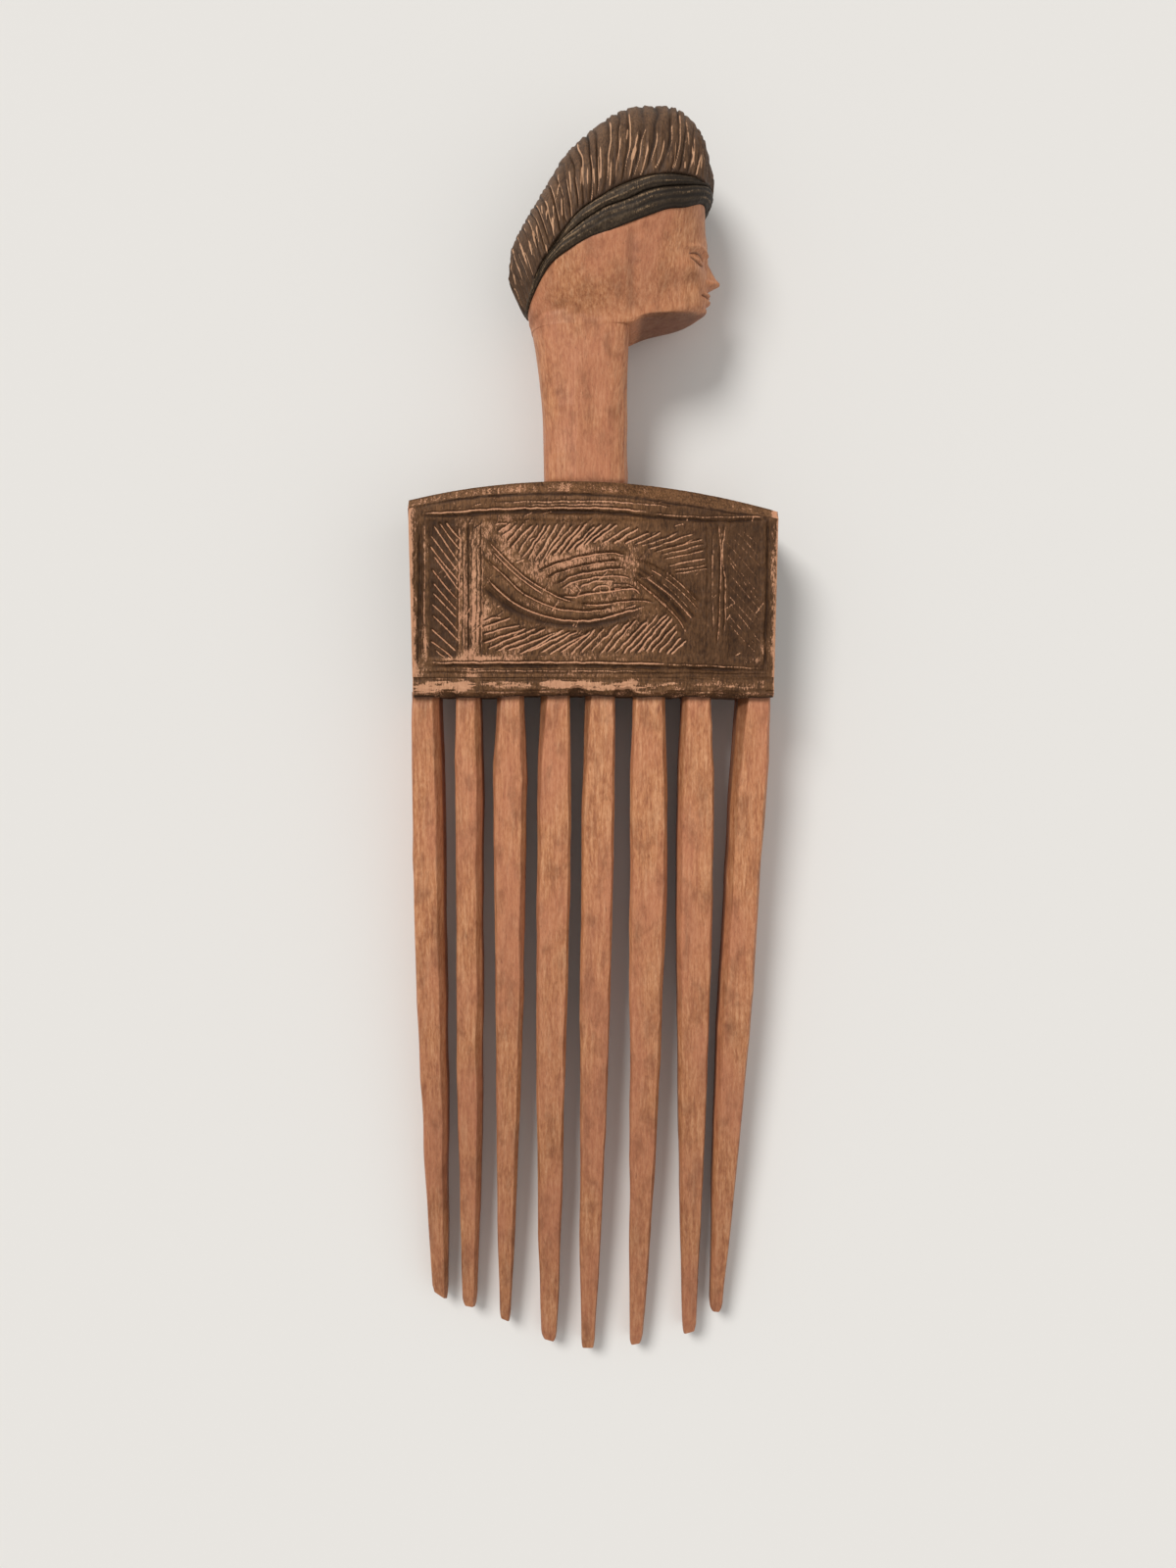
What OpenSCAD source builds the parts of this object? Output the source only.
// Hair comb with a carved head, cut from one board of hardwood.
// It is drawn along the board's middle plane: X across the teeth, Y towards the head
// and Z out of the carved face, with Y = 0 where the teeth leave the rail.
// At the end it is laid face up on a table, on one side of the headband and on the tooth tips.

/* [Panel] */
// Width of the panel at its shoulders
panel_w = 63.6; // [60:0.2:68]
// Width of the comb where the teeth leave it
foot_w = 62; // [58:0.2:66]
// Height of the panel from the rail to the top of its arch
panel_h = 33.6; // [28:0.2:40]
// Thickness of the board at the panel and the rail
panel_t = 13.5; // [12.4:0.1:15]
// Radius of the arch along the top of the panel
arch_r = 118; // [100:1:160]
// How far the top of the arch stands to the left of the middle
arch_left = 3.5; // [0:0.1:6]
// Height of the bevel along the arch
bevel_h = 2.6; // [1.6:0.1:3.4]
// Depth of that bevel, on the front and on the back
bevel_d = 2.1; // [1:0.1:2.8]

/* [Carved frame] */
// Width of a groove cut into the front of the panel
groove_w = 0.9; // [0.5:0.1:1.4]
// Depth of those grooves
groove_d = 0.7; // [0.3:0.1:1.2]
// From the side of the panel to the frame groove
frame_side = 1.9; // [1.2:0.1:3]
// From the rail up to the frame groove
frame_foot = 1.6; // [1:0.1:3]
// From the bevel down to the frame groove
frame_top = 2.2; // [1.4:0.1:3]
// From the side of the panel to the middle of an upright column
column_side = 10.8; // [8:0.1:14]
// Width of an upright column, between its two grooves
column_w = 3.8; // [2.6:0.1:5]

/* [Rail] */
// Height of the plain rail between the teeth and the panel
rail_h = 3.6; // [2.6:0.1:5]
// Size of the bevel along the foot of the rail
foot_bevel = 0.8; // [0.4:0.1:1]

/* [Teeth] */
// Length of the longest tooth
tooth_l = 117.2; // [96:0.2:136]
// Width of a full tooth
tooth_w = 6; // [4.8:0.1:6.6]
// Depth of a tooth at its root, front to back
root_d = 11; // [9:0.1:11.6]
// Depth of a tooth at its tip
tip_d = 3.6; // [2.6:0.1:5]

/* [Neck] */
// Width of the neck where it leaves the panel
neck_w = 14.6; // [12:0.1:17]
// Thickness of the neck where it leaves the panel
neck_t = 9.2; // [7.6:0.1:10]
// Height of the neck, from the arch to the head
neck_h = 26.6; // [20:0.2:34]
// How far the foot of the neck stands to the left of the middle
neck_left = 1.25; // [0:0.05:3]
// Width of the neck where it meets the head
neck_top_w = 17; // [15:0.1:18]
// Thickness of the neck where it meets the head
neck_top_t = 13; // [11:0.1:14]
// How far the neck leans back between its foot and the head
neck_lean = 0.95; // [0:0.05:1.5]

/* [Head] */
// Length of the head, from the back of the hair to the forehead
head_l = 35.5; // [33:0.1:38]
// Height of the head, from the neck to the top of the hair
head_h = 38.4; // [36:0.1:42]
// Thickness of the head at the temples, under the headband
head_t = 20.4; // [18:0.1:21]
// Thickness of the hair, side to side, where it is widest
hair_t = 22; // [20:0.1:24]
// How far each roll of the headband stands out
roll_proud = 0.6; // [0.3:0.1:0.9]
// Number of locks that the hair is carved into
locks = 30; // [20:1:36]
// Depth of the cut between two locks
lock_d = 0.5; // [0.2:0.1:0.7]

/* [Hidden] */
cut = 1;
wood = [0.72, 0.46, 0.33];
stained_wood = [0.36, 0.26, 0.17];
black_stain = [0.2, 0.18, 0.15];

// The arch, and how high the neck's seat is cut into it
panel_top = rail_h + panel_h;
arch_y = panel_top - arch_r;
neck_x = -neck_left;
neck_reach = max(abs(neck_x + neck_w / 2 + arch_left), abs(neck_x - neck_w / 2 + arch_left));
seat_y = arch_y + sqrt(arch_r * arch_r - neck_reach * neck_reach);
head_y = seat_y + neck_h;
head_x = neck_x - neck_lean;

// Middle line of each tooth at the root, half way down and at the tip, to the width of the foot
tooth_line_shares = [
    [-0.470, -0.460, -0.445], [-0.350, -0.352, -0.358],
    [-0.232, -0.239, -0.256], [-0.107, -0.118, -0.129],
    [0.018, 0.004, -0.015], [0.156, 0.150, 0.124],
    [0.289, 0.286, 0.279], [0.452, 0.405, 0.357]];
// Width of each tooth at the stations below, to the width of a full tooth
tooth_width_shares = [
    [0.79, 0.88, 0.87, 0.83, 0.70, 0.54, 0.44, 0.26],
    [0.71, 0.79, 0.74, 0.77, 0.67, 0.53, 0.43, 0.34],
    [0.80, 1.01, 0.92, 0.79, 0.62, 0.46, 0.32, 0.22],
    [0.88, 0.99, 0.99, 0.89, 0.76, 0.60, 0.46, 0.24],
    [0.90, 0.94, 0.94, 0.89, 0.69, 0.54, 0.40, 0.28],
    [0.96, 1.08, 1.12, 0.96, 0.73, 0.53, 0.38, 0.33],
    [0.84, 1.03, 1.06, 0.93, 0.70, 0.51, 0.42, 0.36],
    [0.93, 1.05, 0.95, 0.98, 0.71, 0.50, 0.36, 0.18]];
tooth_station_shares = [0, 0.12, 0.3, 0.5, 0.75, 0.9, 0.97, 1];
// Depth of every tooth at those stations, from 1 at the root to 0 at the tip
tooth_depth_shares = [1, 0.94, 0.82, 0.66, 0.4, 0.2, 0.06, -0.08];
tooth_length_shares = [0.918, 0.935, 0.956, 0.988, 1, 0.994, 0.976, 0.943];
// How far the end of each tooth slants: a full share is 45 degrees, down to the right
tip_slant_shares = [0.5, 0.1, 0, -0.4, 0, 0.2, -0.15, -0.5];
// Corners knocked off a tooth, to the smaller of its width and depth there
tooth_corner_share = 0.17;

// Outlines of the head, from the back of the hair to the forehead, to the head's length and height.
// They start from the middle of the neck's top.
head_stations = 12;
jaw_shares = [
    [0.325, 0.025], [0.42, 0.035], [0.505, 0.045], [0.575, 0.06], [0.62, 0.08]];
band_foot_shares = [
    [-0.26, 0.075], [-0.23, 0.125], [-0.19, 0.185], [-0.135, 0.24], [-0.055, 0.285],
    [0.035, 0.325], [0.13, 0.355], [0.23, 0.39], [0.325, 0.425],
    [0.42, 0.46], [0.505, 0.47], [0.565, 0.47], [0.605, 0.455]];
band_groove_shares = [
    [-0.265, 0.08], [-0.235, 0.13], [-0.195, 0.2], [-0.15, 0.27], [-0.08, 0.33],
    [0.015, 0.395], [0.115, 0.45], [0.215, 0.485], [0.315, 0.525],
    [0.41, 0.55], [0.505, 0.565], [0.575, 0.565], [0.63, 0.56]];
band_top_shares = [
    [-0.27, 0.085], [-0.24, 0.14], [-0.205, 0.215], [-0.155, 0.285], [-0.095, 0.35],
    [-0.005, 0.44], [0.105, 0.505], [0.205, 0.555], [0.305, 0.585],
    [0.41, 0.605], [0.505, 0.61], [0.585, 0.605], [0.64, 0.595]];
hair_top_shares = [
    [-0.345, 0.24], [-0.33, 0.37], [-0.285, 0.455], [-0.235, 0.53], [-0.17, 0.63],
    [-0.065, 0.785], [0.08, 0.91], [0.21, 0.985], [0.33, 1],
    [0.44, 0.995], [0.525, 0.95], [0.6, 0.85], [0.65, 0.695]];

// Half thicknesses at the same stations, to half the head's or the hair's thickness
jaw_half_shares = [0.24, 0.45, 0.58, 0.63, 0.65, 0.65, 0.61, 0.55, 0.55, 0.53, 0.49, 0.39, 0.17];
cheek_half_shares = [0.28, 0.53, 0.75, 0.86, 0.91, 0.93, 0.90, 0.86, 0.81, 0.76, 0.67, 0.51, 0.11];
temple_half_shares = [0.22, 0.47, 0.73, 0.86, 0.94, 0.98, 1, 0.99, 0.96, 0.90, 0.80, 0.60, 0.17];
hair_half_shares = [0.18, 0.46, 0.70, 0.84, 0.93, 0.98, 1, 1, 0.98, 0.93, 0.84, 0.64, 0.2];
hair_edge_share = 0.11;

// Rows of the face from the throat to the headband, and how far the chin, lips, nose and brow
// stand out there, to the head's length. Plain thirds: chin to nose, nose to brow, brow to band.
face_row_shares = [
    0, 0.05, 0.1, 0.15, 0.19, 0.23, 0.27, 0.31,
    0.345, 0.38, 0.43, 0.5, 0.58, 0.65, 0.72, 0.86, 1];
face_relief_shares = [
    -0.02, 0.008, 0.01, 0.002, 0.01, 0.003, 0.012, 0.006,
    0.014, 0.04, 0.046, 0.034, 0.02, 0.008, 0.01, 0.009, 0];
// Stations over which each row's relief fades from the profile into the cheek
face_fade_stations = [3, 2.6, 2.2, 1.8, 1.4, 1.5, 1.4, 1.3, 1.1, 0.9, 0.9, 0.9, 1.1, 1.6, 2.4, 3, 3];
hair_row_shares = [0, 0.18, 0.4, 0.62, 0.8, 0.93, 1];
roll_row_shares = [0, 0.22, 0.5, 0.78, 1];

function mix(a, b, t) = a + (b - a) * t;
// Value of a list at a place between its members, straight or along a smooth curve
function straight(list, s) =
    let (i = min(floor(s), len(list) - 2)) mix(list[i], list[i + 1], s - i);
function smooth(list, s) =
    let (
        last = len(list) - 1, i = min(floor(s), last - 1), t = s - i,
        a = list[max(i - 1, 0)], b = list[i], c = list[i + 1], d = list[min(i + 2, last)])
    b + (c - a) * t / 2 + (2 * a - 5 * b + 4 * c - d) * t * t / 2 + (3 * b - a - 3 * c + d) * t * t * t / 2;

// Value at a share of the way through three others, at the start, half way and at the end
function through(three, r) =
    three[0] * (1 - r) * (1 - 2 * r) + three[1] * 4 * r * (1 - r) + three[2] * r * (2 * r - 1);

// Place on the head for a pair of shares
function on_head(pair) = [head_x + pair[0] * head_l, head_y + pair[1] * head_h];

// Closed solid through rings of points. Each ring holds its front half and then its back half,
// so that point k lies over point last - k and the ends close as a strip.
module loft(rings) {
    n = len(rings[0]);
    last = len(rings) - 1;
    sides = [
        for (j = [0:last - 1], k = [0:n - 1])
            let (a = j * n + k, b = j * n + (k + 1) % n, c = a + n, d = b + n)
            each [[a, b, c], [b, d, c]]];
    ends = [
        for (k = [0:n / 2 - 2])
            let (a = k, b = k + 1, c = n - 2 - k, d = n - 1 - k)
            each [[a, c, b], [a, d, c], [last * n + a, last * n + b, last * n + c],
                  [last * n + a, last * n + c, last * n + d]]];
    polyhedron(points = [for (ring = rings) each ring], faces = concat(sides, ends));
}

// A ring from points in the side view and the half thickness at each of them
function ring(points, halves) = [
    for (k = [0:len(points) - 1]) [points[k][0], points[k][1], halves[k]],
    for (k = [len(points) - 1:-1:0]) [points[k][0], points[k][1], -halves[k]]];

// Teeth
function tooth_ring(i, j) =
    let (
        s = tooth_station_shares[j],
        x = foot_w * through(tooth_line_shares[i], s),
        y = -s * tooth_length_shares[i] * tooth_l,
        a = tooth_w * tooth_width_shares[i][j] / 2,
        b = mix(tip_d, root_d, tooth_depth_shares[j]) / 2,
        c = 2 * min(a, b) * tooth_corner_share,
        slant = j == len(tooth_station_shares) - 1 ? tip_slant_shares[i] : 0,
        across = [-a, -a + c, a - c, a],
        halves = [b - c, b, b, b - c])
    ring([for (u = across) [x + u, y - u * slant]], halves);

module tooth(i) {
    color(wood)
        lay()
            loft([for (j = [0:len(tooth_station_shares) - 1]) tooth_ring(i, j)]);
}

// Half width of the panel and the rail at a height over the roots of the teeth
function half_width(y) = mix(foot_w, panel_w, y / panel_top) / 2;

// Plate between two heights, as wide as the comb is there
module board(low, high) {
    linear_extrude(panel_t, center = true)
        polygon([
            [-half_width(low), low], [half_width(low), low],
            [half_width(high), high], [-half_width(high), high]]);
}

module tooth_rail() {
    bevel_side = foot_bevel * sqrt(2);
    color(stained_wood)
        lay()
            difference() {
                board(0, rail_h);
                for (side = [-1, 1])
                    translate([0, 0, side * panel_t / 2])
                        rotate([45, 0, 0])
                            cube([foot_w + 2 * cut, bevel_side, bevel_side], center = true);
            }
}

// Disc whose rim is the arch with its two bevels, of which the panel is a slice
module arch_disc() {
    flat = panel_t / 2 - bevel_d;
    translate([-arch_left, arch_y, 0])
        rotate_extrude($fn = 720)
            polygon([
                [0, -panel_t / 2], [arch_r - bevel_h, -panel_t / 2], [arch_r, -flat],
                [arch_r, flat], [arch_r - bevel_h, panel_t / 2], [0, panel_t / 2]]);
}

module groove(x, low, high) {
    translate([x - groove_w / 2, low, panel_t / 2 - groove_d])
        cube([groove_w, high - low, groove_d + cut]);
}

// The groove under the bevel, which follows the arch
module arch_groove() {
    outer = arch_r - bevel_h - frame_top;
    translate([-arch_left, arch_y, panel_t / 2 - groove_d])
        difference() {
            cylinder(h = groove_d + cut, r = outer, $fn = 720);
            translate([0, 0, -cut])
                cylinder(h = groove_d + 3 * cut, r = outer - groove_w, $fn = 720);
        }
}

module panel() {
    frame_x = panel_w / 2 - frame_side;
    frame_low = rail_h + frame_foot;
    color(stained_wood)
        lay()
            difference() {
                intersection() {
                    board(rail_h, panel_top);
                    arch_disc();
                }
                translate([neck_x - neck_w / 2, seat_y, -panel_t / 2 - cut])
                    cube([neck_w, panel_top - seat_y + cut, panel_t + 2 * cut]);
                intersection() {
                    union() {
                        for (side = [-1, 1]) {
                            groove(side * frame_x, frame_low, panel_top);
                            for (edge = [-1, 1])
                                groove(side * (panel_w / 2 - column_side) + edge * column_w / 2,
                                       frame_low, panel_top);
                        }
                        translate([-frame_x, frame_low, panel_t / 2 - groove_d])
                            cube([2 * frame_x, groove_w, groove_d + cut]);
                        arch_groove();
                    }
                    translate([-frame_x - groove_w / 2, frame_low, 0])
                        cube([2 * frame_x + groove_w, panel_h, panel_t]);
                    translate([-arch_left, arch_y, 0])
                        cylinder(h = panel_t, r = arch_r - bevel_h - frame_top, $fn = 720);
                }
            }
}

// Neck: rounded sections from the seat on the arch to the head
neck_sections = 8;
neck_points = 12;
neck_roundness = 2.6;
// Angle from the side of a section to its first point, which leaves a narrow flat there
neck_flat_angle = 9;

function neck_ring(s) =
    let (
        y = mix(seat_y, head_y, s),
        x = mix(neck_x, head_x, s * s),
        a = mix(neck_w, neck_top_w, pow(s, 3)) / 2,
        b = mix(neck_t, neck_top_t, pow(s, 1.6)) / 2,
        step = (180 - 2 * neck_flat_angle) / (neck_points - 1),
        turns = [for (k = [0:neck_points - 1]) 180 - neck_flat_angle - k * step])
    ring(
        [for (turn = turns) [x + a * sign(cos(turn)) * pow(abs(cos(turn)), 2 / neck_roundness), y]],
        [for (turn = turns) b * pow(sin(turn), 2 / neck_roundness)]);

module neck() {
    color(wood)
        lay()
            loft([for (k = [neck_sections:-1:0]) neck_ring(k / neck_sections)]);
}

// Head: columns of points from its lower outline to an upper one, at each step from back to front
columns = 2 * locks;
function station(j) = head_stations * j / columns;

// The head's foot sits on the neck's top, and past it runs along the jaw
seat_stations = head_stations - len(jaw_shares);
function head_foot(s) =
    s <= seat_stations
        ? [head_x + neck_top_w * (s / seat_stations - 0.5), head_y]
        : straight(
            concat([[head_x + neck_top_w / 2, head_y]], [for (pair = jaw_shares) on_head(pair)]),
            s - seat_stations);

// How far out the face stands at a row, fading from the profile into the cheek
function relief(s, row) =
    let (near = max(0, 1 - (head_stations - s) / face_fade_stations[row]))
    head_l * face_relief_shares[row] * near * near;

function head_ring(s) =
    let (
        low = head_foot(s),
        high = on_head(smooth(band_foot_shares, s)),
        halves = [for (table = [jaw_half_shares, cheek_half_shares, temple_half_shares]) smooth(table, s)],
        rows = [0:len(face_row_shares) - 1])
    ring(
        [for (k = rows) mix(low, high, face_row_shares[k]) + [relief(s, k), 0]],
        [for (k = rows) head_t / 2 * through(halves, face_row_shares[k])]);

module head() {
    color(wood)
        lay()
            loft([for (j = [0:columns]) head_ring(station(j))]);
}

// One roll of the headband, round between its two edges
function roll_ring(s, low_shares, high_shares) =
    let (
        low = on_head(smooth(low_shares, s)),
        high = on_head(smooth(high_shares, s)),
        half = mix(head_t, hair_t, 0.5) / 2 * smooth(temple_half_shares, s))
    ring(
        [for (r = roll_row_shares) mix(low, high, r)],
        [for (r = roll_row_shares) half + roll_proud * sin(180 * r)]);

module band_roll(low_shares, high_shares) {
    color(black_stain)
        lay()
            loft([for (j = [0:columns]) roll_ring(station(j), low_shares, high_shares)]);
}

module band_lower() {
    band_roll(band_foot_shares, band_groove_shares);
}

module band_upper() {
    band_roll(band_groove_shares, band_top_shares);
}

// Hair: every second column lies in the cut between two locks
function hair_ring(j) =
    let (
        s = station(j),
        deep = j % 2 * lock_d,
        low = on_head(smooth(band_top_shares, s)),
        top = on_head(smooth(hair_top_shares, s)),
        high = top + deep * (low - top) / norm(low - top),
        half = hair_t / 2 * smooth(hair_half_shares, s),
        edge = hair_t / 2 * hair_edge_share)
    ring(
        [for (r = hair_row_shares) mix(low, high, r)],
        [for (r = hair_row_shares) mix(edge, half - deep, pow(1 - pow(r, 2.4), 0.6))]);

module hair() {
    color(stained_wood)
        lay()
            loft([for (j = [0:columns]) hair_ring(j)]);
}

// The comb rests on the lower roll of the headband, where it is thickest, and on the longest tooth,
// at the station where that one starts to narrow fast
band_station = head_stations / 2;
tooth_station = len(tooth_station_shares) - 3;
band_y = mix(on_head(band_foot_shares[band_station]), on_head(band_groove_shares[band_station]), 0.5)[1];
band_half = mix(head_t, hair_t, 0.5) / 2 + roll_proud;
tooth_rest_l = tooth_l * tooth_station_shares[tooth_station];
tooth_half = mix(tip_d, root_d, tooth_depth_shares[tooth_station]) / 2;
tip = atan((band_half - tooth_half) / (band_y + tooth_rest_l));
lift = tooth_rest_l * sin(tip) + tooth_half * cos(tip);
top_y = head_y + head_h;
shift = (tooth_l - top_y) / 2 * cos(tip);

module lay() {
    translate([0, shift, lift])
        rotate([tip, 0, 0])
            children();
}

tooth(0);  // tooth_1
tooth(1);  // tooth_2
tooth(2);  // tooth_3
tooth(3);  // tooth_4
tooth(4);  // tooth_5
tooth(5);  // tooth_6
tooth(6);  // tooth_7
tooth(7);  // tooth_8
tooth_rail();
panel();
neck();
head();
band_lower();
band_upper();
hair();
